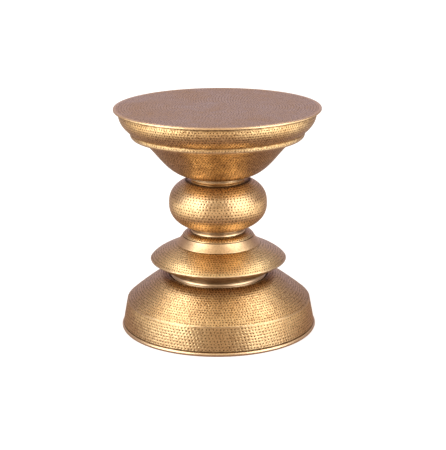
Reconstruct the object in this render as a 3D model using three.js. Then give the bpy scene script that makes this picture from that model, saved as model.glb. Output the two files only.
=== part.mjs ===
// Round pedestal tray table in hammered brass. Millimetres, +Z up, origin at the centre of the
// circle it stands on. Every shell is spun sheet; the stack is pulled together by one tie rod.
import * as THREE from "three";

// ---- driving dimensions ----
const SEGMENTS = 32; // round the axis
const SHEET = 1.2; // wall of the spun shells
const GAP = 0.3; // between touching pieces

const TRAY_R = 210;
const TRAY_TOP = 460.2;
const TRAY_EDGE_H = 4;
const TRAY_PLATE_R = 203.4;
const TRAY_PLATE_T = 1.8;

const BAND_TOP_R = 200.2;
const BAND_TOP_Z = 455.9;
const BAND_FOOT_R = 177.3;
const BAND_FOOT_Z = 412.9;
const BOWL_LIP_R = 170;
const BOWL_FLOOR_R = 57;
const BOWL_FLOOR_Z = 318.9;
const NECK_BORE_R = 46;

const BALL_R = 100.5;
const BALL_Z = 261.3;
const BALL_UP = 57.5;
const BALL_DOWN = 57.3;
const BALL_UP_POWER = 2.49;
const BALL_DOWN_POWER = 2.31;
const BALL_TOP_Z = 310.3;
const BALL_FOOT_Z = 210.5;

const COLLAR_TOP_Z = 202;
const COLLAR_R = 86.6;
const SAUCER_TOP_Z = 176.4;
const SAUCER_R = 140.2;
const SAUCER_FLOOR_Z = 115.4;
const CROWN_Z = 108.6;
const SHOULDER_R = 189.9;
const SHOULDER_Z = 57.7;
const SKIRT_R = 199.1;
const BEAD_R = 3.7;
const BEAD_CENTRE_R = 197.9;

const ROD_R = 5; // M10
const ROD_HOLE_R = 6;
const ROD_LOW_Z = 88;
const ROD_TOP_Z = 340;
const PLATE_T = 3;
const WASHER_T = 2;
const NUT_T = 8;
const NUT_ACROSS_FLATS = 17;

// ---- finishes ----
const hammered = { color: 0xa97a4a, roughness: 0.34, metalness: 1 };
const polished = { color: 0xcba071, roughness: 0.2, metalness: 1 };
const rawBrass = { color: 0x8a6a3c, roughness: 0.5, metalness: 1 };
const steel = { color: 0x9a9c9e, roughness: 0.42, metalness: 1 };

const table = new THREE.Group();

function addMesh(name, geometry, finish) {
  const mesh = new THREE.Mesh(geometry, new THREE.MeshStandardMaterial(finish));
  mesh.name = name;
  table.add(mesh);
  return mesh;
}

// Turns a closed section, a list of [r, z], round the Z axis.
function turned(section, segments = SEGMENTS) {
  let area = 0;
  section.forEach(([r, z], i) => {
    const [r2, z2] = section[(i + 1) % section.length];
    area += r * z2 - r2 * z;
  });
  const loop = area > 0 ? [...section] : [...section].reverse();
  loop.push(loop[0]);
  const points = loop.map(([r, z]) => new THREE.Vector2(r, z));
  return new THREE.LatheGeometry(points, segments).rotateX(Math.PI / 2);
}

const bezier = (points, count, from = 0, to = 1) => {
  const p = points.map(([r, z]) => new THREE.Vector2(r, z));
  const curve = p.length === 3
    ? new THREE.QuadraticBezierCurve(...p)
    : new THREE.CubicBezierCurve(...p);
  return Array.from({ length: count + 1 }, (_, i) => {
    const q = curve.getPoint(from + ((to - from) * i) / count);
    return [q.x, q.y];
  });
};

// The same line moved to its right-hand side by a wall thickness, with mitred corners.
function offset(line, wall) {
  return line.map(([r, z], i) => {
    const a = line[Math.max(i - 1, 0)];
    const b = line[Math.min(i + 1, line.length - 1)];
    const edge = (p, q) => {
      const length = Math.hypot(q[0] - p[0], q[1] - p[1]);
      return [(q[1] - p[1]) / length, -(q[0] - p[0]) / length];
    };
    const n1 = i > 0 ? edge(a, line[i]) : edge(line[i], b);
    const n2 = i < line.length - 1 ? edge(line[i], b) : n1;
    const m = [n1[0] + n2[0], n1[1] + n2[1]];
    const scale = (2 * wall) / (m[0] * m[0] + m[1] * m[1]);
    return [r + m[0] * scale, z + m[1] * scale];
  });
}

// A wall of even thickness whose outer face is the line; the wall lies to the line's right.
const shell = (line, wall = SHEET) => [...line, ...offset(line, wall).reverse()];

// The same, with the line's last end cut level.
function shellCutLevel(line, wall = SHEET) {
  const inner = offset(line, wall);
  const [r, z] = line[line.length - 1];
  inner[inner.length - 1] = [r - wall, z];
  return [...line, ...inner.reverse()];
}

// ---- tray: a flat plate held in a rounded edge ring, with a hoop that centres it ----
addMesh("tray_plate", turned([
  [0, TRAY_TOP - TRAY_PLATE_T], [TRAY_PLATE_R, TRAY_TOP - TRAY_PLATE_T],
  [TRAY_PLATE_R, TRAY_TOP], [0, TRAY_TOP],
]), hammered);

const ledge = TRAY_TOP - TRAY_PLATE_T - GAP;
const edgeLow = TRAY_TOP - TRAY_EDGE_H;
addMesh("tray_edge_ring", turned([
  [196, edgeLow], [TRAY_R - 1.2, edgeLow], [TRAY_R, edgeLow + 1.1], [TRAY_R, TRAY_TOP - 1],
  [TRAY_R - 0.9, TRAY_TOP], [TRAY_PLATE_R + GAP, TRAY_TOP], [TRAY_PLATE_R + GAP, ledge],
  [196, ledge],
]), polished);

addMesh("tray_locating_hoop", turned([
  [188.6, 446.5], [190.2, 446.5], [190.2, ledge], [188.6, ledge],
]), rawBrass);

// ---- bowl: rim band, step ring and bowl shell ----
const bandFlange = 8;
addMesh("bowl_rim_band", turned(shell([
  [BAND_TOP_R - bandFlange, BAND_TOP_Z],
  ...bezier([[BAND_TOP_R, BAND_TOP_Z], [203.1, 431.3], [BAND_FOOT_R, BAND_FOOT_Z]], 5),
  [BOWL_LIP_R - 4, BAND_FOOT_Z],
])), hammered);

const stepTop = BAND_FOOT_Z - GAP;
addMesh("bowl_step_ring", turned([
  [BOWL_LIP_R + GAP, stepTop], [177.2, stepTop], [177.2, 407.8], [175.9, 403.6],
  [173.7, 401.4], [BOWL_LIP_R + GAP + 0.6, 401.4], [BOWL_LIP_R + GAP, 403],
]), hammered);

const bowlCurve = [[179.2, 405.3], [130, 399.6], [118.5, 326.3], [BOWL_FLOOR_R, 319.7]];
addMesh("bowl_shell", turned(shell([
  [BOWL_LIP_R, stepTop - GAP], [BOWL_LIP_R, 403.6], [167.4, 401.6],
  ...bezier(bowlCurve, 7, 0.13, 1), [54, BOWL_FLOOR_Z], [ROD_HOLE_R, BOWL_FLOOR_Z],
])), hammered);

// ---- neck ring, ball in two halves with a lap band inside, neck ring ----
addMesh("upper_neck_ring", turned([
  [NECK_BORE_R, BALL_TOP_Z + GAP], [52.9, BALL_TOP_Z + GAP], [54.4, 313.4],
  [55, BOWL_FLOOR_Z - GAP], [NECK_BORE_R, BOWL_FLOOR_Z - GAP],
]), polished);

// Quarter of a squared ellipse, from the equator to the flat that ends it.
function ballQuarter(height, power, endHeight, count) {
  const last = Math.asin(Math.min((endHeight / height) ** (power / 2), 1));
  return Array.from({ length: count + 1 }, (_, i) => {
    const t = (last * i) / count;
    return [BALL_R * Math.cos(t) ** (2 / power), height * Math.sin(t) ** (2 / power)];
  });
}
const ballTop = ballQuarter(BALL_UP, BALL_UP_POWER, BALL_TOP_Z - BALL_Z, 6)
  .map(([r, h], i) => [r, BALL_Z + (i ? h : GAP / 2)]);
const ballFoot = ballQuarter(BALL_DOWN, BALL_DOWN_POWER, BALL_Z - BALL_FOOT_Z, 6)
  .map(([r, h], i) => [r, BALL_Z - (i ? h : GAP / 2)]);
addMesh("ball_upper", turned(shell([
  [ROD_HOLE_R, BALL_TOP_Z], ...ballTop.reverse(),
])), hammered);
addMesh("ball_lower", turned(shell([
  ...ballFoot, [ROD_HOLE_R, BALL_FOOT_Z],
])), hammered);
addMesh("ball_lap_band", turned([
  [97.2, BALL_Z - 6], [98.4, BALL_Z - 6], [98.4, BALL_Z + 6], [97.2, BALL_Z + 6],
]), rawBrass);

addMesh("lower_neck_ring", turned([
  [NECK_BORE_R, COLLAR_TOP_Z + GAP], [55.9, COLLAR_TOP_Z + GAP], [54.4, 206],
  [52.5, BALL_FOOT_Z - GAP], [NECK_BORE_R, BALL_FOOT_Z - GAP],
]), polished);

// ---- collar: a small dome on a flared smooth band ----
addMesh("collar_cap", turned(shell([
  [ROD_HOLE_R, COLLAR_TOP_Z], [56, COLLAR_TOP_Z], [63, 200.8], [69, 198], [73.2, 194.4],
])), hammered);
addMesh("collar_band", turned([
  [72.3, 192.9], [73.8, 192.9], [77, 188.3], [81.2, 182.6], [COLLAR_R, SAUCER_TOP_Z + GAP],
  [COLLAR_R - 2, SAUCER_TOP_Z + GAP], [79.8, 181.9], [75.6, 187.5],
]), polished);

// ---- saucer: a shallow cone over an undercut underside ----
addMesh("saucer_top", turned(shellCutLevel([
  [ROD_HOLE_R, SAUCER_TOP_Z],
  ...bezier([[84.2, SAUCER_TOP_Z], [128, 160.3], [SAUCER_R, 144.5]], 5),
])), hammered);
addMesh("saucer_underside", turned(shell([
  [SAUCER_R - 0.6, 144], [SAUCER_R - 0.9, 142.1], [137.6, 141], [126, 134.6], [111, 124.6],
  [100, 118], [93.5, SAUCER_FLOOR_Z], [ROD_HOLE_R, SAUCER_FLOOR_Z],
])), polished);

// ---- base: pedestal ring, crowned dome, skirt and the bead it stands on ----
addMesh("pedestal_ring", turned([
  [84, CROWN_Z + GAP], [98.7, CROWN_Z + GAP], [96.4, 111.4], [95.5, SAUCER_FLOOR_Z - GAP],
  [84, SAUCER_FLOOR_Z - GAP],
]), polished);

const dome = [
  [ROD_HOLE_R, CROWN_Z], [99, CROWN_Z], [106, 111.3], [113, 112.1], [120, 110.6], [128, 106.4],
  [138, 99.7], [148, 92.4], [158, 84.8], [168, 76.9], [178, 68.9], [184.5, 63.3],
  [SHOULDER_R, SHOULDER_Z + GAP],
];
addMesh("base_dome", turned([
  ...dome, [188.2, SHOULDER_Z], [188.2, SHOULDER_Z - 6], [187, SHOULDER_Z - 6],
  [187, 60], ...offset(dome, SHEET).slice(0, -2).reverse(),
]), hammered);

addMesh("base_skirt", turned([
  [SHOULDER_R, SHOULDER_Z], [SKIRT_R, 2 * BEAD_R + GAP], [SKIRT_R - 1.2, 2 * BEAD_R + GAP],
  [SHOULDER_R - 1.2, SHOULDER_Z],
]), hammered);

// A round bead with a narrow flat worn on the underside.
const beadFlat = 1.7;
const bead = Array.from({ length: 8 }, (_, i) => {
  const a = -0.32 * Math.PI + (i / 7) * 1.64 * Math.PI;
  return [BEAD_CENTRE_R + BEAD_R * Math.cos(a), BEAD_R + BEAD_R * Math.sin(a)];
});
addMesh("base_foot_bead", turned([
  [BEAD_CENTRE_R - beadFlat, 0], [BEAD_CENTRE_R + beadFlat, 0], ...bead,
]), polished);

// ---- tie rod and its fastenings ----
function disc(name, radius, bore, low, thickness, finish) {
  addMesh(name, turned([
    [bore, low], [radius, low], [radius, low + thickness], [bore, low + thickness],
  ], 24), finish);
}
function hexNut(name, low) {
  const outline = new THREE.Shape();
  const corner = NUT_ACROSS_FLATS / Math.sqrt(3);
  for (let i = 0; i < 6; i += 1) {
    const a = (i * Math.PI) / 3;
    outline[i ? "lineTo" : "moveTo"](corner * Math.cos(a), corner * Math.sin(a));
  }
  outline.closePath();
  const bore = new THREE.Path();
  bore.absarc(0, 0, ROD_R + GAP, 0, 2 * Math.PI, true);
  outline.holes.push(bore);
  const geometry = new THREE.ExtrudeGeometry(outline, {
    depth: NUT_T, bevelEnabled: false, curveSegments: 16,
  });
  addMesh(name, geometry, steel).position.z = low;
}

addMesh("tie_rod", turned([
  [0, ROD_LOW_Z], [ROD_R - 0.8, ROD_LOW_Z], [ROD_R, ROD_LOW_Z + 0.8],
  [ROD_R, ROD_TOP_Z - 0.8], [ROD_R - 0.8, ROD_TOP_Z], [0, ROD_TOP_Z],
], 16), steel);

let z = BOWL_FLOOR_Z + SHEET + GAP;
disc("bowl_clamp_plate", 45, ROD_HOLE_R, z, PLATE_T, steel);
z += PLATE_T + GAP;
disc("upper_washer", 12.5, ROD_R + GAP, z, WASHER_T, steel);
z += WASHER_T + GAP;
hexNut("upper_nut", z);

z = CROWN_Z - SHEET - GAP - PLATE_T;
disc("base_clamp_plate", 60, ROD_HOLE_R, z, PLATE_T, steel);
z -= GAP + WASHER_T;
disc("lower_washer", 12.5, ROD_R + GAP, z, WASHER_T, steel);
z -= GAP + NUT_T;
hexNut("lower_nut", z);

export default table;
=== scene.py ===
import math

import bpy
import numpy as np
from mathutils import Matrix, Vector


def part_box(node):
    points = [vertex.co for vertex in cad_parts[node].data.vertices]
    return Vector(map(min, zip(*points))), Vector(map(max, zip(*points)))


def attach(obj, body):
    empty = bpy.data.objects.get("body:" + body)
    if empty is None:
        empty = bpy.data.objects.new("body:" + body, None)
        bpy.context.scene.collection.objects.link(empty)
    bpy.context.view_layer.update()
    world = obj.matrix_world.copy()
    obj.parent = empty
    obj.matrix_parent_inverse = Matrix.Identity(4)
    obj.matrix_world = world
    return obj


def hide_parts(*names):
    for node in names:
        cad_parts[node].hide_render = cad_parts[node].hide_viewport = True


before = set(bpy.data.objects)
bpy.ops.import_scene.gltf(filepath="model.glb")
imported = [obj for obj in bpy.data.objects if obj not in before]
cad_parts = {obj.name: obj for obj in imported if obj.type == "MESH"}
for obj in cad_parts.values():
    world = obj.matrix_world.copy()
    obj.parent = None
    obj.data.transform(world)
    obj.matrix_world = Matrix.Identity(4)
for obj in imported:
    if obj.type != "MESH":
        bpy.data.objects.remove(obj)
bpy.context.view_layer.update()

MM = 0.001
TAU = 2 * math.pi

# ---------------------------------------------------------------- driving sizes, in millimetres


def span(node):
    """The height of a CAD node's underside and of its top."""
    low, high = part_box(node)
    return low[2] / MM, high[2] / MM


WALL = 1.2
ROD_HOLE = 6.0  # the radius of the holes on the axis

TRAY_TOP = span("tray_plate")[1]
TRAY_RADIUS = 210.0
PLATE_RADIUS = 203.45
PLATE_THICK = 1.8
EDGE_LOW, EDGE_HIGH = 456.2, 460.2

BAND_LOW, BAND_HIGH = 412.9, 455.9
STEP_HIGH = 412.6
BOWL_FLOOR = 318.9

BALL_RADIUS, BALL_MIDDLE = 100.5, 261.3
BALL_LOW, BALL_HIGH = 210.5, 310.3

CAP_HIGH = 202.0
FLARE_LOW, FLARE_HIGH = 176.7, 192.9
SAUCER_HIGH = 176.4
UNDER_LOW = 115.4
PEDESTAL_LOW, PEDESTAL_HIGH = 108.9, 115.1

CROWN = 108.6
SKIRT_LOW = 7.7
SHOULDER_RADIUS = 189.9
BEAD_CENTRE, BEAD_RADIUS = 197.9, 3.7

PITCH, ALONG = 5.5, 5.8  # between the rows of dots and along a row, on the wide shells
COARSE = dict(pitch=6.0, along=7.0, dot=1.4)  # the ball's punch
AROUND, AROUND_INSIDE = 192, 128  # points round a plain outside and round an inside
SPOKES = 8  # points round each dot

# ---------------------------------------------------------------- sections
# Every section is a list of (r, z) in millimetres. It runs from the underside's middle outwards,
# up round the outside and back in over the top, so that its right-hand side faces outwards.


def bezier(points, count, end=1.0):
    """A Bezier curve through its control points, as far as the parameter's value end."""
    t = np.linspace(0.0, end, count + 1)[:, None]
    p = [np.array(q, float) for q in points]
    while len(p) > 1:
        p = [a * (1 - t) + b * t for a, b in zip(p, p[1:])]
    return [tuple(q) for q in p[0]]


def soften(points, radius, closed=False, steps=3, least=0.35):
    """The same polyline with its corners rounded, and a ring close to each end of every round.
    A bend of fewer radians than least stays as it is."""
    p = [np.array(q, float) for q in points]
    out = []
    for i, here in enumerate(p):
        if not closed and i in (0, len(p) - 1):
            out.append(here)
            continue
        a, b = p[i - 1], p[(i + 1) % len(p)]
        u, v = a - here, b - here
        lu, lv = np.linalg.norm(u), np.linalg.norm(v)
        u, v = u / lu, v / lv
        bend = math.pi - math.acos(max(-1, min(1, float(u @ v))))
        if bend < least:
            out.append(here)
            continue
        cut = min(radius * math.tan(bend / 2), 0.42 * lu, 0.42 * lv)
        r = cut / math.tan(bend / 2)
        centre = here + (u + v) / np.linalg.norm(u + v) * math.hypot(r, cut)
        if lu > 4 * cut:
            out.append(here + u * (cut + min(0.4 * radius + 0.1, 0.05 * lu + 0.05)))
        s, e = here + u * cut - centre, here + v * cut - centre
        for k in range(steps + 1):
            w = s * (1 - k / steps) + e * (k / steps)
            out.append(centre + w / np.linalg.norm(w) * r)
        if lv > 4 * cut:
            out.append(here + v * (cut + min(0.4 * radius + 0.1, 0.05 * lv + 0.05)))
    return [tuple(q) for q in out]


def spline(points, count=8):
    """A smooth line through every point."""
    p = [np.array(q, float) for q in points]
    p = [2 * p[0] - p[1]] + p + [2 * p[-1] - p[-2]]
    out = []
    for a, b, c, d in zip(p, p[1:], p[2:], p[3:]):
        for k in range(count):
            t = k / count
            out.append(0.5 * (2 * b + (c - a) * t + (2 * a - 5 * b + 4 * c - d) * t**2
                              + (3 * b - a - 3 * c + d) * t**3))
    return [tuple(q) for q in out + [p[-2]]]


def normals(line):
    """The outward unit normal at every point of a section."""
    d = np.diff(np.array(line, float), axis=0)
    d = d / np.linalg.norm(d, axis=1)[:, None]
    d = np.vstack([d[:1], d[:-1] + d[1:], d[-1:]])
    d = d / np.linalg.norm(d, axis=1)[:, None]
    return np.stack([d[:, 1], -d[:, 0]], axis=1)


def offset(line, wall):
    """The section's inside face, a wall's thickness behind it."""
    return [tuple(q) for q in np.array(line, float) - normals(line) * wall]


def thin(line, least=0.8):
    """The polyline without points that lie closer together than least."""
    out = [line[0]]
    for q in line[1:-1]:
        if math.dist(q, out[-1]) >= least:
            out.append(q)
    if math.dist(line[-1], out[-1]) < least / 2 and len(out) > 1:
        out.pop()
    out.append(line[-1])
    return out


class Course:
    """A section measured along its length s, with the beaten surface's unevenness, its rubbing and
    painted light. An end above 0 is a bright edge, rubbed brass and painted highlight. Below 0 it is a
    dark band, wax in crevices and painted shade, and the number sets how far the dark reaches."""

    EDGE_REACH = 1.0
    # How far and how strongly a dark end reaches: wax in crevices and painted shade.
    WAX_REACH, WAX_DEPTH = 3.0, 2.2
    CALM = 4.0  # the unevenness dies out over this length at both ends

    def __init__(self, line, wobble, ends, wear):
        self.points = np.array(line, float)
        self.normals = normals(line)
        steps = np.linalg.norm(np.diff(self.points, axis=0), axis=1)
        self.s = np.concatenate([[0], np.cumsum(steps)])
        self.length = self.s[-1]
        self.wobble, self.ends, self.wear = wobble, ends, wear

    def radius(self, s):
        return np.interp(s, self.s, self.points[:, 0])

    def at(self, theta, s, height):
        """The r and z of points that stand height above the section."""
        calm = np.clip(np.minimum(s, self.length - s) / self.CALM, 0, 1)
        h = height + self.wobble(theta, s) * calm
        return tuple(
            np.interp(s, self.s, self.points[:, k]) + np.interp(s, self.s, self.normals[:, k]) * h
            for k in (0, 1)
        )

    def tone(self, s):
        """The rubbing and painted light at s: above 0 is bright, rubbed brass and painted highlight,
        and below 0 is dark, wax and painted shade.
        """
        total = self.wear
        for d, end in zip((s, self.length - s), self.ends):
            if end >= 0:
                total = total + np.clip(self.EDGE_REACH - d, 0, 1) * end
            else:
                total = total - np.clip(self.WAX_DEPTH + d / (self.WAX_REACH * end), 0, 1)
        return total


# ---------------------------------------------------------------- turned meshes


class Turning:
    """A mesh turned round the Z axis, laid ring by ring along a section."""

    UNEVEN = 0.022
    ROW_GAP = 0.35  # between the cells of two neighbouring rows
    LIP = 0.6  # from a course's end to its second ring

    def __init__(self, seed):
        self.rng = np.random.default_rng(seed)
        self.co, self.dent, self.edge = [], [], []
        self.count = 0
        self.faces, self.slots = [], []
        self.first = self.last = None
        self.waves = [
            (int(k), self.rng.uniform(0.02, 0.09), *self.rng.uniform(0, TAU, 2))
            for k in self.rng.integers(2, 15, 9)
        ]

    def add(self, theta, r, z, dent=0.0, edge=0.0):
        """New vertices, and the numbers that they get."""
        theta, r, z, dent, edge = np.broadcast_arrays(theta, r, z, dent, edge)
        self.co.append(np.stack([r * np.cos(theta), r * np.sin(theta), z], axis=-1).reshape(-1, 3))
        self.dent.append(dent.reshape(-1))
        self.edge.append(edge.reshape(-1))
        start = self.count
        self.count += theta.size
        return np.arange(start, self.count)

    def wobble(self, theta, s):
        """The hand-beaten surface's slow unevenness, in millimetres."""
        total = 0.0
        for k, pitch, a, b in self.waves:
            total = total + np.sin(k * theta + a) * np.sin(pitch * s + b)
        return self.UNEVEN * total

    def join(self, ids, angles, slot):
        """Faces from the last ring to this one."""
        if self.last is not None:
            self.zip(self.last, (ids, angles), slot)
        if self.first is None:
            self.first = (ids, angles)
        self.last = (ids, angles)

    def face(self, ids, slot):
        self.faces.append(tuple(int(v) for v in ids))
        self.slots.append(slot)

    def zip(self, low, high, slot):
        """Faces between two rings, which may have different numbers of points."""
        (a, ta), (b, tb) = low, high
        if len(a) == 1 or len(b) == 1:
            self.fan(a, b, slot)
            return
        turn = int(np.argmin(np.abs((tb - ta[0] + math.pi) % TAU - math.pi)))
        b, tb = np.roll(b, -turn), np.roll(tb, -turn)
        n, m = len(a), len(b)
        start = (tb[0] - ta[0] + math.pi) % TAU - math.pi
        if n == m and abs(start) < 1e-6:
            for i in range(n):
                j = (i + 1) % n
                self.face((a[i], a[j], b[j], b[i]), slot)
            return
        ua = np.append((ta - ta[0]) % TAU, TAU).tolist()
        ub = np.append(start + (tb - tb[0]) % TAU, start + TAU).tolist()
        a, b = a.tolist(), b.tolist()
        i = j = 0
        while i < n or j < m:
            if j == m or (i < n and ua[i + 1] <= ub[j + 1]):
                self.face((a[i % n], a[(i + 1) % n], b[j % m]), slot)
                i += 1
            else:
                self.face((a[i % n], b[(j + 1) % m], b[j % m]), slot)
                j += 1

    def fan(self, a, b, slot):
        """Faces between a ring and a single point on the axis."""
        ring, tip = (a, b[0]) if len(b) == 1 else (b, a[0])
        for i in range(len(ring)):
            pair = ring[i], ring[(i + 1) % len(ring)]
            if len(b) != 1:
                pair = pair[::-1]
            self.face((*pair, tip), slot)

    def plain(self, line, slot=0, around=AROUND, edge=0.0):
        """Smooth rings along a line. The rubbing and painted light, edge, is one number or one for
        every point.
        """
        angles = np.arange(around) * TAU / around
        for k, (r, z) in enumerate(line):
            wear_and_light_here = edge[k] if isinstance(edge, (list, tuple)) else edge
            if r < 1e-6:
                self.join(self.add(0.0, 0.0, z, 0.0, wear_and_light_here), np.zeros(1), slot)
            else:
                self.join(self.add(angles, r, z, 0.0, wear_and_light_here), angles, slot)

    def punched(self, line, pitch=PITCH, along=ALONG, margins=(2.0, 2.0), dot=1.35, depth=0.34,
                slot=0, ends=(1, 1), wear=0.0):
        """Rows of punched dots over the line, each a real dent, with plain margins at both ends."""
        course = Course(line, self.wobble, ends, wear)
        total = course.length

        def ring(s):
            theta = np.arange(AROUND) * TAU / AROUND
            s = np.full(AROUND, s)
            ids = self.add(theta, *course.at(theta, s, 0.0), 0.0, course.tone(s))
            self.join(ids, theta, slot)

        rows = max(1, round((total - margins[0] - margins[1]) / pitch))
        step = (total - margins[0] - margins[1]) / rows
        ring(0.0)
        ring(min(self.LIP, margins[0] / 2))
        phase = self.rng.uniform(0, TAU)
        for k in range(rows):
            mid = margins[0] + (k + 0.5) * step
            count = max(5, round(TAU * float(course.radius(mid)) / along))
            phase = phase + TAU / count * (0.5 + self.rng.uniform(-0.06, 0.06))
            self.row(course, mid, step, phase, count, along, dot, depth, slot)
        ring(total - min(self.LIP, margins[1] / 2))
        ring(total)

    def row(self, course, mid, step, phase, count, along, dot, depth, slot):
        """One row of dots. Each dot has a four-sided cell, and two rings of points round its
        deepest point."""
        at, tone, rng = course.at, course.tone, self.rng
        cell = TAU / count
        low, high = mid - step / 2 + self.ROW_GAP / 2, mid + step / 2 - self.ROW_GAP / 2
        half = phase + np.arange(2 * count) * cell / 2
        side_t = phase + np.arange(count) * cell
        flat_low, flat_high = np.full(2 * count, low), np.full(2 * count, high)
        bottom = self.add(half, *at(half, flat_low, 0.0), 0.0, tone(flat_low))
        side = self.add(side_t, *at(side_t, np.full(count, mid), 0.04), 0.0, tone(mid))
        top = self.add(half, *at(half, flat_high, 0.0), 0.0, tone(flat_high))

        size = np.minimum(dot * rng.uniform(0.82, 1.14, count), 0.36 * min(step, along))
        deep = depth * rng.uniform(0.75, 1.2, count)
        dark = rng.uniform(0.7, 1.0, count)
        stray = np.clip(rng.normal(0, 0.05, count), -0.15, 0.15)
        ct = phase + (np.arange(count) + 0.5 + stray) * cell
        slow = 0.18 * np.sin(3 * ct + phase) + 0.12 * np.sin(7 * ct)
        cs = mid + np.clip(rng.normal(0, 0.22, count) + slow, -0.8, 0.8) * min(1.0, step / 6)
        centre = self.add(ct, *at(ct, cs, -deep), dark, tone(cs))
        spokes = np.arange(SPOKES) * TAU / SPOKES
        radius = course.radius(cs)[:, None]

        def spread(share, sink, stain):
            """A ring of points round every dot, at a share of its size and of its depth."""
            reach = (size * share)[:, None]
            tt = ct[:, None] + reach * np.cos(spokes) / np.maximum(radius, 2.0)
            ss = np.clip(cs[:, None] + reach * np.sin(spokes), low + 0.05, high - 0.05)
            r, z = at(tt, ss, -deep[:, None] * sink + np.zeros((count, SPOKES)))
            return self.add(tt, r, z, stain * dark[:, None], tone(ss)).reshape(count, SPOKES)

        inner = spread(0.66, 0.62, 1.0).tolist()
        outer = spread(1.0, 0.0, 0.28).tolist()
        self.join(bottom, half % TAU, slot)
        self.last = (top, half % TAU)
        bt, tp, sd, cn = bottom.tolist(), top.tolist(), side.tolist(), centre.tolist()
        for i in range(count):
            j = (i + 1) % count
            e, f = 2 * i, (2 * i + 2) % (2 * count)
            rim = (sd[j], tp[f], tp[e + 1], tp[e], sd[i], bt[e], bt[e + 1], bt[f])
            a, b, c = inner[i], outer[i], cn[i]
            for q in range(SPOKES):
                w = (q + 1) % SPOKES
                self.faces.append((c, a[q], a[w]))
                self.faces.append((a[q], b[q], b[w], a[w]))
                self.faces.append((b[q], rim[q], rim[w], b[w]))
                self.slots += (slot, slot, slot)

    def close(self, slot=0):
        """Faces from the last ring back to the first."""
        self.zip(self.last, self.first, slot)

    def build(self, name, materials, body, node):
        """The finished piece, which rides on a body and replaces a CAD node."""
        co = np.concatenate(self.co) * MM
        mesh = bpy.data.meshes.new(name)
        mesh.from_pydata(co.tolist(), [], self.faces)
        mesh.polygons.foreach_set("material_index", np.array(self.slots, np.int32))
        mesh.polygons.foreach_set("use_smooth", np.ones(len(self.faces), bool))
        # The edge attribute is rubbed bright edges and painted highlights above 0, and wax and painted
        # shade below 0.
        for key, values in (("dent", self.dent), ("edge", self.edge)):
            layer = mesh.attributes.new(key, "FLOAT", "POINT")
            layer.data.foreach_set("value", np.concatenate(values).astype(np.float32))
        for material in materials:
            mesh.materials.append(material)
        mesh.update()
        piece = bpy.data.objects.new(name, mesh)
        bpy.context.scene.collection.objects.link(piece)
        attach(piece, body)
        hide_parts(node)


# ---------------------------------------------------------------- materials


class Nodes:
    """A new node material, with short names for what it is made from."""

    def __init__(self, name):
        self.material = bpy.data.materials.new(name)
        self.material.use_nodes = True
        self.tree = self.material.node_tree
        self.shader = self.tree.nodes["Principled BSDF"]

    def new(self, kind, **settings):
        node = self.tree.nodes.new(kind)
        for key, value in settings.items():
            setattr(node, key, value)
        return node

    def link(self, source, target):
        self.tree.links.new(source, target)

    def place(self):
        """The point on the object, in metres."""
        return self.new("ShaderNodeTexCoord").outputs["Object"]

    def split(self, vector):
        node = self.new("ShaderNodeSeparateXYZ")
        self.link(vector, node.inputs[0])
        return node.outputs

    def noise(self, vector, scale, detail=4.0, rough=0.55, distortion=0.0):
        node = self.new("ShaderNodeTexNoise")
        node.inputs["Scale"].default_value = scale
        node.inputs["Detail"].default_value = detail
        node.inputs["Roughness"].default_value = rough
        node.inputs["Distortion"].default_value = distortion
        self.link(vector, node.inputs["Vector"])
        return node.outputs["Fac"]

    def range(self, value, low, high, to_low, to_high):
        node = self.new("ShaderNodeMapRange")
        keys = ("From Min", "From Max", "To Min", "To Max")
        for key, number in zip(keys, (low, high, to_low, to_high)):
            node.inputs[key].default_value = number
        self.link(value, node.inputs["Value"])
        return node.outputs["Result"]

    def math(self, operation, a, b=0.0):
        node = self.new("ShaderNodeMath", operation=operation)
        for socket, value in zip(node.inputs, (a, b)):
            if isinstance(value, (int, float)):
                socket.default_value = value
            else:
                self.link(value, socket)
        return node.outputs[0]

    def length(self, x, y):
        squares = self.math("MULTIPLY", x, x), self.math("MULTIPLY", y, y)
        return self.math("SQRT", self.math("ADD", *squares))

    def mix(self, factor, a, b):
        node = self.new("ShaderNodeMix", data_type="RGBA")
        for socket, value in ((node.inputs[0], factor), (node.inputs[6], a), (node.inputs[7], b)):
            if isinstance(value, tuple):
                socket.default_value = (*value, 1.0)
            else:
                self.link(value, socket)
        return node.outputs[2]

    def attribute(self, name):
        return self.new("ShaderNodeAttribute", attribute_name=name).outputs["Fac"]

    def bump(self, height, strength, distance, before=None):
        node = self.new("ShaderNodeBump")
        node.inputs["Strength"].default_value = strength
        node.inputs["Distance"].default_value = distance
        self.link(height, node.inputs["Height"])
        if before is not None:
            self.link(before, node.inputs["Normal"])
        return node.outputs["Normal"]


STAIN = (0.22, 0.10, 0.034)
# The light colour is for rubbed edges and painted highlights, and the dark one for wax in dents and
# crevices and for painted shade.
WORN_AND_HIGHLIGHT = (0.95, 0.80, 0.54)
WAX = (0.065, 0.027, 0.009)


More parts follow.
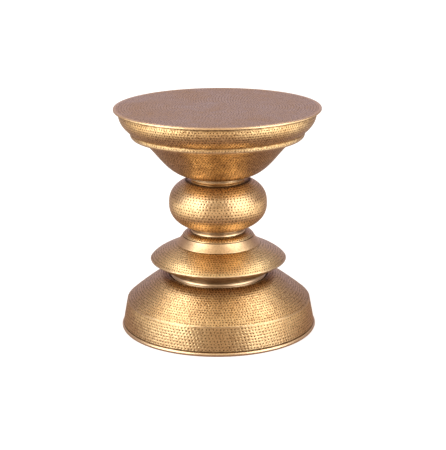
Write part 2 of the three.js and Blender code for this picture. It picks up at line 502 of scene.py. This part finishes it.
def brass(name, light, dark, roughness, spread, grain, tarnish, turned=0.0, patina=0.0):
    """Brass with tarnish clouds, fine scratches or turning marks, and wax in its dents. The edge
    attribute adds wax in crevices and painted shade, and rubbed bright edges and painted highlights.
    Noise scales are per metre and bump distances are in metres."""
    m = Nodes(name)
    place = m.place()
    cloud = m.noise(place, 9.0, 5.0, 0.6, 0.4)
    fine = m.noise(place, 60.0, 6.0, 0.65)
    mottle = m.noise(place, 300.0, 3.0, 0.6)
    grit = m.noise(place, 420.0, 3.0, 0.6)

    clouds = m.range(cloud, 0.34, 0.66, 0.0, 1.0)
    colour = m.mix(clouds, light, dark)
    streak = m.range(fine, 0.35, 0.75, 0.0, tarnish)
    colour = m.mix(streak, colour, (dark[0] * 0.72, dark[1] * 0.62, dark[2] * 0.55))
    colour = m.mix(m.range(mottle, 0.46, 0.66, 0.0, 1.9 * tarnish), colour, STAIN)

    # Painted light: a high edge value lightens rubbed edges and painted highlights, and a low one
    # darkens crevices with wax and painted shade.
    edge = m.attribute("edge")
    colour = m.mix(m.range(edge, 0.15, 1.0, 0.0, 0.8), colour, WORN_AND_HIGHLIGHT)
    crevice_and_shade = m.math("ADD", m.math("MULTIPLY", edge, -1.0), m.range(fine, 0.3, 0.7, -0.2, 0.2))
    wax_and_shade_mask = m.range(crevice_and_shade, 0.15, 1.0, 0.0, 0.92)
    if patina:
        speck = m.math("ADD", m.attribute("dent"), m.range(mottle, 0.3, 0.7, -0.07, 0.07))
        wax_and_shade_mask = m.math("MAXIMUM", wax_and_shade_mask, m.range(speck, 0.20, 0.62, 0.0, patina))
    m.link(m.mix(wax_and_shade_mask, colour, WAX), m.shader.inputs["Base Color"])

    m.shader.inputs["Metallic"].default_value = 1.0
    rough = m.range(fine, 0.3, 0.75, roughness - spread, roughness + spread)
    rough = m.math("ADD", rough, m.range(clouds, 0.0, 1.0, -0.02, 0.05))
    rough = m.math("ADD", rough, m.range(wax_and_shade_mask, 0.0, 1.0, 0.0, 0.22))
    m.link(rough, m.shader.inputs["Roughness"])

    if turned:
        x, y, z = m.split(place)
        across = m.new("ShaderNodeCombineXYZ")
        for source, socket in zip((m.length(x, y), m.math("MULTIPLY", cloud, 0.004), z), across.inputs):
            m.link(source, socket)
        lines = m.noise(across.outputs[0], 1400.0, 3.0, 0.7)
        normal = m.bump(lines, turned, 0.00012)
        normal = m.bump(fine, grain, 0.0004, normal)
    else:
        normal = m.bump(mottle, grain, 0.0006)
        normal = m.bump(grit, grain, 0.0003, normal)
    m.link(normal, m.shader.inputs["Normal"])
    return m.material


def zinc(name):
    """Zinc-plated steel with faint spangle and a little rust."""
    m = Nodes(name)
    place = m.place()
    fine = m.noise(place, 180.0, 5.0, 0.6)
    spangle = m.new("ShaderNodeTexVoronoi")
    spangle.inputs["Scale"].default_value = 130.0
    m.link(place, spangle.inputs["Vector"])
    tone = m.range(spangle.outputs["Color"], 0.0, 1.0, 0.0, 0.6)
    colour = m.mix(tone, (0.50, 0.51, 0.53), (0.66, 0.67, 0.68))
    rust = m.range(m.noise(place, 26.0, 6.0, 0.7), 0.60, 0.78, 0.0, 0.55)
    colour = m.mix(rust, colour, (0.26, 0.15, 0.08))
    m.link(colour, m.shader.inputs["Base Color"])
    m.shader.inputs["Metallic"].default_value = 1.0
    m.link(m.range(fine, 0.3, 0.7, 0.30, 0.48), m.shader.inputs["Roughness"])
    m.link(m.bump(fine, 0.25, 0.0004), m.shader.inputs["Normal"])
    return m.material


LOW = brass("hammered_low", (0.88, 0.665, 0.35), (0.79, 0.545, 0.26),
            roughness=0.30, spread=0.05, grain=0.28, tarnish=0.30, patina=0.90)
BALL = brass("hammered_ball", (0.88, 0.64, 0.34), (0.78, 0.52, 0.25),
             roughness=0.355, spread=0.05, grain=0.25, tarnish=0.30, patina=0.94)
HAMMERED = brass("hammered_brass", (0.86, 0.625, 0.33), (0.75, 0.50, 0.23),
                 roughness=0.30, spread=0.05, grain=0.28, tarnish=0.42, patina=0.97)
POLISHED = brass("polished_brass", (0.86, 0.63, 0.37), (0.76, 0.52, 0.27),
                 roughness=0.35, spread=0.05, grain=0.08, tarnish=0.16, turned=0.35)
INSIDE = brass("inside_brass", (0.56, 0.38, 0.18), (0.34, 0.21, 0.09),
               roughness=0.46, spread=0.08, grain=0.30, tarnish=0.55, turned=0.5, patina=0.3)
ZINC = zinc("zinc_plate")

# ---------------------------------------------------------------- kinds of piece


# Unless told otherwise, both ends of a shell's punched face are darkened: wax at the joints and painted
# shade between the parts.
def shell(name, line, node, seed, foot=(), head=(), skin=HAMMERED, ends=(-0.6, -0.6), **punch):
    """A spun shell: a punched outside face, plain stretches before and after it, and a plain
    inside face a wall's thickness behind them all."""
    t = Turning(seed)
    t.plain(foot)
    t.punched(line, ends=ends, **punch)
    t.plain(head)
    whole = list(foot) + list(line) + list(head)
    t.plain(offset(thin(whole), WALL)[::-1], 1, AROUND_INSIDE)
    t.close(1)
    t.build(name, (skin, INSIDE), "stand", node)


def smooth(name, section, node, seed, radius, body="stand", skin=POLISHED,
           around=AROUND, wear=0.0):
    """A plain turned piece from a closed section with rounded corners. The rubbing and painted light
    is one number or a function of height."""
    t = Turning(seed)
    line = soften(section, radius, closed=True)
    t.plain(line, 0, around, [wear(z) for r, z in line] if callable(wear) else wear)
    t.close()
    t.build(name, (skin,), body, node)


def inward(radius, z):
    """A flat run from this radius to the hole for the rod."""
    return [(radius, z), (40, z), (ROD_HOLE, z)]


# ---------------------------------------------------------------- tray


def tray():
    low = TRAY_TOP - PLATE_THICK
    t = Turning(11)
    t.plain([(0.0, low), (100, low), (203.0, low)], 1)
    t.plain([(203.35, TRAY_TOP - 1.6), (PLATE_RADIUS, TRAY_TOP - 1.2), (PLATE_RADIUS, TRAY_TOP - 0.3)])
    t.punched([(203.2, TRAY_TOP), (3.0, TRAY_TOP)], 5.6, 6.2, (1.4, 0.6), 1.2, 0.3, ends=(0.1, 0))
    t.plain([(0.0, TRAY_TOP)])
    t.build("tray_top", (HAMMERED, INSIDE), "tray", "tray_plate")

    ledge = 458.1
    edge = [(196, EDGE_LOW), (209.0, EDGE_LOW), (TRAY_RADIUS, 457.2), (TRAY_RADIUS, 459.3),
            (209.3, EDGE_HIGH), (203.6, EDGE_HIGH), (203.6, ledge), (196, ledge)]
    # The edge ring's lower part is darkened as painted shadow under its overhang, and its upper part
    # lightened a little as painted highlight.
    smooth("tray_edge", edge, "tray_edge_ring", 12, 0.5, "tray",
           wear=lambda z: -0.9 if z < 457.3 else 0.2)
    hoop_low = 446.5
    hoop = [(188.6, hoop_low), (190.2, hoop_low), (190.2, ledge), (188.6, ledge)]
    smooth("tray_hoop", hoop, "tray_locating_hoop", 13, 0.4, "tray", INSIDE)


# ---------------------------------------------------------------- bowl


def bowl():
    band = bezier([(177.3, BAND_LOW), (203.1, 431.3), (200.2, BAND_HIGH)], 60)
    # The dark band at the top of this shell, just under the tray's edge, is painted shadow.
    shell("bowl_band", band, "bowl_rim_band", 21,
          foot=[(166, BAND_LOW), (171, BAND_LOW), (176.2, BAND_LOW)], head=[(192.2, BAND_HIGH)],
          margins=(2.2, 4.6), ends=(0.9, -0.9))

    t = Turning(22)
    t.plain([(170.5, STEP_HIGH), (170.5, 403.2), (171.1, 401.5)], 1)
    t.plain([(173.2, 401.2)])
    round_edge = [(173.7, 401.4), (174.9, 402.3), (175.9, 403.6), (176.6, 405.3)]
    # The whole step ring is lightened as a painted highlight band, and its top end darkened as painted
    # shade under the band.
    t.punched(round_edge + [(177.2, 407.8), (177.2, 412.2)], 8.0, 6.0, (3.2, 0.8), 1.2,
              ends=(0.2, -0.3), wear=0.38)
    t.plain([(176.6, STEP_HIGH)])
    t.close()
    t.build("bowl_step", (HAMMERED, INSIDE), "stand", "bowl_step_ring")

    side = bezier([(57.0, 319.7), (118.5, 326.3), (130, 399.6), (179.2, 405.3)], 120, 0.87)
    rim = soften([side[-1], (167.6, 401.8), (170, 404.0)], 1.0)[1:]
    floor = [(ROD_HOLE, BOWL_FLOOR), (30, BOWL_FLOOR), (54.0, BOWL_FLOOR), (56.0, 319.2)]
    # The whole bowl is darkened a little with the wax colour, as painted shade.
    shell("bowl", side + rim, "bowl_shell", 23, foot=floor,
          head=[(170, 404.6), (170, 411.8), (169.6, 412.3)], margins=(3.0, 4.0), wear=-0.26)


# ---------------------------------------------------------------- neck rings and ball


def ball_side(height, power, flat, count=70):
    """A quarter of the squashed ball, from its widest place up to a flat at this height. A power
    of 2 is an ellipse, and more than that is squarer."""
    last = math.asin(min((flat / height) ** (power / 2), 1))
    t = np.linspace(0.0, 1.0, count + 1) * last
    return [
        (BALL_RADIUS * math.cos(a) ** (2 / power), max(height * math.sin(a) ** (2 / power), 0.03))
        for a in t
    ]


def neck_rings():
    low, high = 310.6, 318.6
    section = [(46, low), (53.2, low), (54.3, 311.5), (54.9, 313.0), (55.1, 315.0), (55.0, 317.0),
               (54.6, high), (46, high)]
    # Painted light: the ring's lower half is lightened as a painted highlight, and its upper half
    # darkened as painted shade under the bowl.
    smooth("neck_ring_high", section, "upper_neck_ring", 31, 0.4,
           wear=lambda z: 0.9 if z < 314.5 else -0.75)
    low, high = 202.3, 210.2
    section = [(46, low), (55.9, low), (55.6, 203.6), (54.2, 206.2), (53.0, 208.3), (52.5, high),
               (46, high)]
    # Painted light: the lower lip is lightened as a painted highlight, and the upper part darkened as
    # painted shade under the ball.
    smooth("neck_ring_low", section, "lower_neck_ring", 32, 0.5,
           wear=lambda z: 0.7 if z < 205 else -0.7)


def ball():
    high = [(r, BALL_MIDDLE + h) for r, h in ball_side(57.5, 2.49, BALL_HIGH - BALL_MIDDLE)]
    shell("ball_high", high, "ball_upper", 33, head=inward(56, BALL_HIGH),
          margins=(0.3, 2.0), ends=(0, -0.7), skin=BALL, **COARSE)
    low = [(r, BALL_MIDDLE - h) for r, h in ball_side(57.3, 2.31, BALL_MIDDLE - BALL_LOW)]
    shell("ball_low", low[::-1], "ball_lower", 34, foot=inward(55, BALL_LOW)[::-1],
          margins=(2.0, 0.3), ends=(-0.7, 0), skin=BALL, **COARSE)
    lap_low, lap_high = BALL_MIDDLE - 6, BALL_MIDDLE + 6
    lap = [(97.2, lap_low), (98.4, lap_low), (98.4, lap_high), (97.2, lap_high)]
    smooth("ball_lap", lap, "ball_lap_band", 35, 0.3, skin=INSIDE)


# ---------------------------------------------------------------- collar and saucer


def collar():
    cap = bezier([(73.2, 194.4), (68.8, 200.6), (62.0, 201.9), (56.0, CAP_HIGH)], 30)
    shell("collar_dome", cap, "collar_cap", 41, head=inward(54, CAP_HIGH),
          margins=(1.0, 1.0), ends=(0, -0.3), pitch=5.0, skin=LOW, wear=0.2)
    outside = bezier([(86.6, FLARE_LOW), (81.2, 182.3), (77.0, 187.9), (73.8, FLARE_HIGH)], 10)
    inside = [(75.6, 187.5), (79.8, 181.9), (84.7, FLARE_LOW)]
    smooth("collar_flare", inside + outside + [(72.3, FLARE_HIGH)], "collar_band", 42, 0.25)


def saucer():
    cone = bezier([(140.2, 144.5), (128, 160.3), (84.2, SAUCER_HIGH)], 60)
    shell("saucer", cone, "saucer_top", 43,
          head=[(82, SAUCER_HIGH), (60, SAUCER_HIGH), (ROD_HOLE, SAUCER_HIGH)],
          margins=(2.4, 1.0), ends=(0.9, -0.35), skin=LOW, wear=0.16)
    under = [(ROD_HOLE, UNDER_LOW), (60, UNDER_LOW), (93.5, UNDER_LOW), (100, 118), (111, 124.6),
             (126, 134.6), (137.6, 141.0), (139.3, 142.1), (139.6, 144.3)]
    t = Turning(44)
    # The whole underside is darkened with the wax colour, as painted shade under the saucer.
    t.plain(soften(under, 3.0, least=0.1), edge=-0.62)
    t.plain(offset(thin(under), WALL)[::-1], 1, AROUND_INSIDE)
    t.close(1)
    t.build("saucer_under", (POLISHED, INSIDE), "stand", "saucer_underside")


# ---------------------------------------------------------------- base


def base():
    pedestal = [(84, PEDESTAL_LOW), (98.7, PEDESTAL_LOW), (98.2, 109.9), (96.4, 111.4),
                (95.6, 113.2), (95.5, PEDESTAL_HIGH), (84, PEDESTAL_HIGH)]
    # The whole ring is lightened with the bright rubbed colour, partly rubbed brass and partly a
    # painted highlight.
    smooth("pedestal", pedestal, "pedestal_ring", 51, 0.4, wear=0.7)

    dome = spline([
        (SHOULDER_RADIUS, 58.2), (188.0, 60.4), (184.5, 63.3), (178, 68.9), (168, 76.9),
        (158, 84.8), (148, 92.4), (138, 99.7), (128, 106.4), (120, 110.6), (113, 112.1),
        (106, 111.3), (99, 108.7),
    ])
    # The bright foot along the shoulder is a rubbed edge and a painted highlight; the dark head round
    # the crown is painted shade under the saucer.
    shell("base_dome_high", dome, "base_dome", 52,
          foot=[(187.0, 51.7), (188.2, 51.7), (188.2, 57.6), (189.6, 57.7), (SHOULDER_RADIUS, 57.9)],
          head=[(97, CROWN), (60, CROWN), (ROD_HOLE, CROWN)], margins=(1.6, 1.2), ends=(0.8, -0.9))

    t = Turning(53)
    t.plain([(197.9, SKIRT_LOW), (198.9, SKIRT_LOW)])
    t.punched([(199.1, 7.9), (189.95, 57.5)], 5.9, 7.0, (1.8, 1.6), 1.42, ends=(-0.5, 0.4))
    t.plain([(189.6, 57.7), (188.8, 57.7), (188.7, 57.4)], 1)
    t.close(1)
    t.build("base_skirt_low", (LOW, INSIDE), "stand", "base_skirt")

    turns = np.linspace(-0.36 * math.pi, 1.36 * math.pi, 22)
    bead = [(BEAD_CENTRE + BEAD_RADIUS * math.cos(a), BEAD_RADIUS + BEAD_RADIUS * math.sin(a))
            for a in turns]
    # The whole bead is lightened with the bright rubbed colour, partly rubbed brass and partly a
    # painted reflection of the pale floor.
    smooth("base_bead", [(196.3, 0.0), (199.5, 0.0)] + bead, "base_foot_bead", 54, 0.2, wear=0.45)


# ---------------------------------------------------------------- fastenings


def turned_blank(name, node, radius, bore, seed):
    """A plate or a washer."""
    low, high = span(node)
    section = [(bore, low), (radius, low), (radius, high), (bore, high)]
    smooth(name, section, node, seed, 0.45, skin=ZINC, around=144)


def rod(name, node, seed, radius=5.0, pitch=1.5, depth=0.8, around=24):
    """A threaded rod: one helical groove from end to end, with both ends chamfered."""
    low, high = span(node)
    t = Turning(seed)
    angles = np.arange(around) * TAU / around
    t.join(t.add(0.0, 0.0, low), np.zeros(1), 0)
    for z in np.linspace(low, high, round((high - low) / pitch * 4) + 1):
        wave = np.abs(2 * ((z / pitch - angles / TAU) % 1.0) - 1)
        groove = radius - depth * np.clip(1.25 * wave - 0.1, 0, 1)
        chamfer = 3.9 + min(z - low, high - z, 1.2)
        t.join(t.add(angles, np.minimum(groove, chamfer), z), angles, 0)
    t.join(t.add(0.0, 0.0, high), np.zeros(1), 0)
    t.build(name, (ZINC,), "stand", node)


def nut(name, node, seed, flats=17.0, around=96):
    """A hexagon nut with its corners chamfered at both faces and a countersunk bore."""
    low, high = span(node)
    t = Turning(seed)
    angles = np.arange(around) * TAU / around
    sixth = math.pi / 3
    hexagon = flats / 2 / np.cos(angles % sixth - sixth / 2)
    mouth = ((5.35, 0.7), (6.0, 0.0), (7.9, 0.0))  # the countersink: radius, and depth in a face
    for r, sunk in mouth:
        t.join(t.add(angles, r, low + sunk), angles, 0)
    insets = [0.0, 0.35, 0.7, 1.05, 1.4]
    for z in [low + h for h in insets] + [high - h for h in insets[::-1]]:
        cone = 8.35 + 1.75 * min(z - low, high - z)
        t.join(t.add(angles, np.minimum(hexagon, cone), z), angles, 0)
    for r, sunk in mouth[::-1]:
        t.join(t.add(angles, r, high - sunk), angles, 0)
    t.close()
    t.build(name, (ZINC,), "stand", node)


def fastenings():
    rod("rod", "tie_rod", 61)
    turned_blank("plate_high", "bowl_clamp_plate", 45, 6, 62)
    turned_blank("plate_low", "base_clamp_plate", 60, 6, 63)
    turned_blank("washer_high", "upper_washer", 12.5, 5.3, 64)
    turned_blank("washer_low", "lower_washer", 12.5, 5.3, 65)
    nut("nut_high", "upper_nut", 66)
    nut("nut_low", "lower_nut", 67)


tray()
bowl()
neck_rings()
ball()
collar()
saucer()
base()
fastenings()

# ---------------------------------------------------------------- camera

TILT_DOWN, ROLL = math.radians(16.03), -0.006
camera = bpy.data.objects.new("camera", bpy.data.cameras.new("camera"))
camera.data.sensor_width = 36
camera.data.lens = 111.63
camera.matrix_world = (
    Matrix.Translation((0.010, -2.7634, 1.0064))
    @ Matrix.Rotation(math.pi / 2 - TILT_DOWN, 4, "X")
    @ Matrix.Rotation(ROLL, 4, "Z")
)
bpy.context.scene.collection.objects.link(camera)
bpy.context.scene.camera = camera

# ---------------------------------------------------------------- floor
# What is seen is a pale sweep. What the brass mirrors is the same floor in the studio's half-light.


def ground(name, z, light, dark, glow, strength):
    """A stage floor that gives off a little light, in the colour that glow works out from the
    floor's x and y."""
    bpy.ops.mesh.primitive_plane_add(size=18, location=(0, 0, z))
    floor = bpy.context.object
    floor.name = name
    m = Nodes(name)
    place = m.place()
    patches = m.range(m.noise(place, 0.8), 0.3, 0.7, 0.0, 1.0)
    m.link(m.mix(patches, light, dark), m.shader.inputs["Base Color"])
    m.shader.inputs["Roughness"].default_value = 0.9
    m.shader.inputs["Specular IOR Level"].default_value = 0.1
    x, y, _ = m.split(place)
    m.link(glow(m, x, y), m.shader.inputs["Emission Color"])
    m.shader.inputs["Emission Strength"].default_value = strength
    floor.data.materials.append(m.material)
    return floor


def brighter_behind(m, x, y):
    return m.mix(m.range(y, 0.2, 3.0, 0.0, 1.0), (1.0, 1.0, 1.0), (1.6, 1.6, 1.6))


def half_light(m, x, y):
    """Dim near the table and behind it, and brightest at its two sides."""
    turn = m.math("ARCTAN2", m.math("ABSOLUTE", x), m.math("MULTIPLY", y, -1.0))
    glow = m.mix(m.range(turn, 0.42, 0.66, 0.0, 1.0), (0.85, 0.69, 0.57), (1.72, 1.64, 1.50))
    glow = m.mix(m.range(turn, 1.75, 2.1, 0.0, 1.0), glow, (0.46, 0.38, 0.38))
    return m.mix(m.range(m.length(x, y), 0.40, 1.0, 1.0, 0.0), glow, (0.32, 0.20, 0.17))


sweep = ground("floor", 0.0, (0.46, 0.455, 0.45), (0.48, 0.475, 0.47), brighter_behind, 0.62)
sweep.visible_glossy = sweep.visible_diffuse = False
dim = ground("floor_mirrored", -0.0004, (0.05, 0.05, 0.05), (0.06, 0.06, 0.06), half_light, 1.0)
dim.visible_camera = dim.visible_shadow = False

# ---------------------------------------------------------------- lights


def softbox(name, azimuth, height, distance, width, tall, power, colour, aim=0.25):
    """A rectangular lamp at this azimuth from the front, aimed at a height on the axis."""
    data = bpy.data.lights.new(name, "AREA")
    data.shape = "RECTANGLE"
    data.size, data.size_y = width, tall
    data.energy = power
    data.color = colour
    lamp = bpy.data.objects.new(name, data)
    a = math.radians(azimuth)
    lamp.location = (distance * math.sin(a), -distance * math.cos(a), height)
    toward = Vector((0, 0, aim)) - Vector(lamp.location)
    lamp.rotation_euler = toward.to_track_quat("-Z", "Y").to_euler()
    lamp.visible_camera = False
    bpy.context.scene.collection.objects.link(lamp)


WHITE, WARM = (1.0, 0.99, 1.04), (1.0, 0.90, 0.78)
softbox("key_left", -59, 1.16, 1.9, 1.9, 2.3, 38.5, WHITE, 0.8)
softbox("key_right", 57, 1.16, 1.9, 1.9, 2.3, 35.5, WHITE, 0.8)
softbox("wing_left", -110, 2.15, 1.1, 0.95, 0.95, 9.5, WHITE)
softbox("wing_right", 110, 2.15, 1.1, 0.95, 0.95, 7.5, WHITE)
softbox("front_fill", 0, 0.38, 1.2, 0.6, 0.30, 0.2, WARM, 0.36)

# ---------------------------------------------------------------- the room


def shade(tree, source, low, high, stops):
    """Colours laid along one direction of the room, and how far along it a point is."""
    along = tree.nodes.new("ShaderNodeMapRange")
    along.inputs["From Min"].default_value = low
    along.inputs["From Max"].default_value = high
    tree.links.new(source, along.inputs["Value"])
    node = tree.nodes.new("ShaderNodeValToRGB")
    ramp = node.color_ramp
    for index in (0, -1):
        at, colour = stops[index]
        ramp.elements[index].position = at
        ramp.elements[index].color = (*colour, 1)
    for at, colour in stops[1:-1]:
        ramp.elements.new(at).color = (*colour, 1)
    tree.links.new(along.outputs["Result"], node.inputs["Fac"])
    return node.outputs["Color"], along.outputs["Result"]


def room():
    """White behind the object, and soft walls and a ceiling for the light and the reflections."""
    world = bpy.data.worlds.new("studio")
    bpy.context.scene.world = world
    world.use_nodes = True
    tree = world.node_tree
    tree.nodes.clear()
    where = tree.nodes.new("ShaderNodeTexCoord")
    split = tree.nodes.new("ShaderNodeSeparateXYZ")
    tree.links.new(where.outputs["Generated"], split.inputs[0])
    walls, _ = shade(tree, split.outputs["Y"], -1, 1, [
        (0.1, (0.40, 0.29, 0.22)),
        (0.5, (0.35, 0.28, 0.30)),
        (0.88, (0.33, 0.26, 0.30)),
        (0.97, (0.51, 0.44, 0.61)),
    ])
    ceiling, lift = shade(tree, split.outputs["Z"], 0.35, 0.9, [
        (0.0, (0.50, 0.46, 0.44)),
        (1.0, (1.06, 0.92, 0.76)),
    ])
    both = tree.nodes.new("ShaderNodeMix")
    both.data_type = "RGBA"
    for source, socket in ((lift, both.inputs[0]), (walls, both.inputs[6]), (ceiling, both.inputs[7])):
        tree.links.new(source, socket)
    lit = tree.nodes.new("ShaderNodeBackground")
    tree.links.new(both.outputs[2], lit.inputs["Color"])
    seen = tree.nodes.new("ShaderNodeBackground")
    seen.inputs["Color"].default_value = (1, 1, 1, 1)
    path = tree.nodes.new("ShaderNodeLightPath")
    mixer = tree.nodes.new("ShaderNodeMixShader")
    tree.links.new(path.outputs["Is Camera Ray"], mixer.inputs[0])
    tree.links.new(lit.outputs[0], mixer.inputs[1])
    tree.links.new(seen.outputs[0], mixer.inputs[2])
    out = tree.nodes.new("ShaderNodeOutputWorld")
    tree.links.new(mixer.outputs[0], out.inputs["Surface"])


room()
bpy.context.scene.view_settings.view_transform = "Standard"
